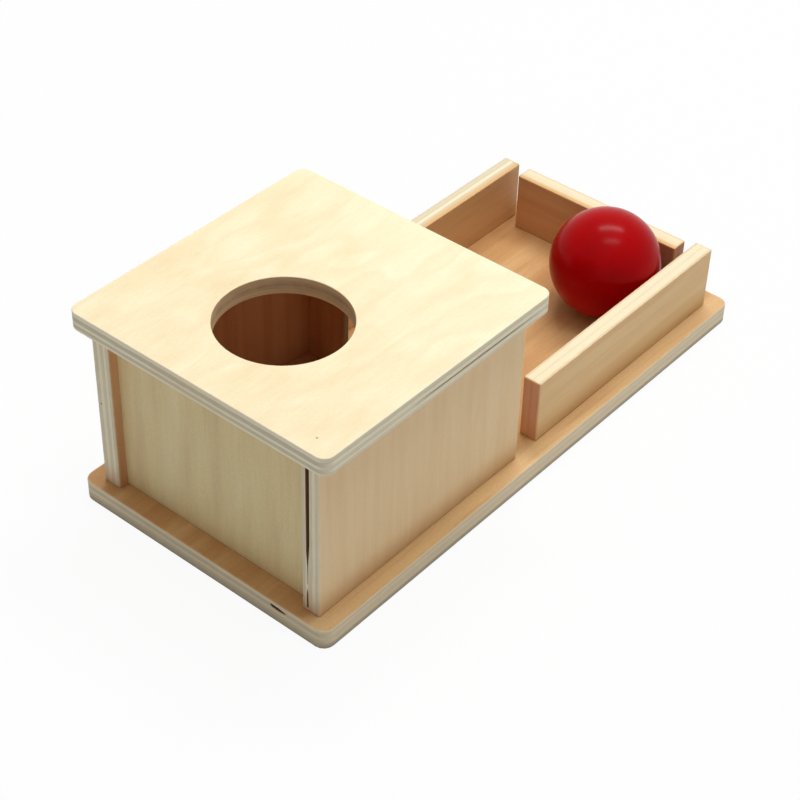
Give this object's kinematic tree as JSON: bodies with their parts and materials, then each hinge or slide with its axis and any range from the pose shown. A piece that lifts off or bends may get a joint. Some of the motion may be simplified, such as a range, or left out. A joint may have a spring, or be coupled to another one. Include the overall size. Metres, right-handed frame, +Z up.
{
  "type": "object permanence box",
  "caption": "Plywood box with a round ball hole in its lid, a ramp inside and an open tray on one base board, with a loose ball that drops in and rolls out.",
  "frame": {"origin": "centre of the base board's underside", "axes": "+X along the base from the box to the tray, +Y across it, away from the ball's side, +Z up"},
  "size_m": [0.3046, 0.145, 0.1045],
  "materials": {
    "base_ply": "sanded and clear lacquered plywood",
    "side_ply": "sanded and clear lacquered plywood",
    "panel_ply": "sanded and clear lacquered thin plywood",
    "lid_ply": "sanded and clear lacquered plywood",
    "dowel_beech": "plain turned hardwood",
    "ball_paint": "gloss red paint on wood",
    "screw_steel": "zinc plated"
  },
  "bodies": {
    "box": {"base_board": "base_ply", "box_side_near": "side_ply", "box_side_far": "side_ply", "front_panel": "panel_ply", "back_panel": "panel_ply", "lid": "lid_ply", "lid_dowels_near": "dowel_beech", "lid_dowels_far": "dowel_beech", "ramp_board": "panel_ply", "ramp_batten": "side_ply", "tray_side_near": "side_ply", "tray_side_far": "side_ply", "tray_end": "side_ply", "box_screws_near": "screw_steel", "box_screws_far": "screw_steel", "tray_screws_near": "screw_steel", "tray_screws_far": "screw_steel", "end_screws": "screw_steel"},
    "ball": {"ball": "ball_paint"}
  },
  "joints": [
    {"name": "ball_roll", "type": "slide", "parent": "box", "child": "ball", "axis": [1, 0, 0], "range_m": [-0.094, 0]}
  ]
}
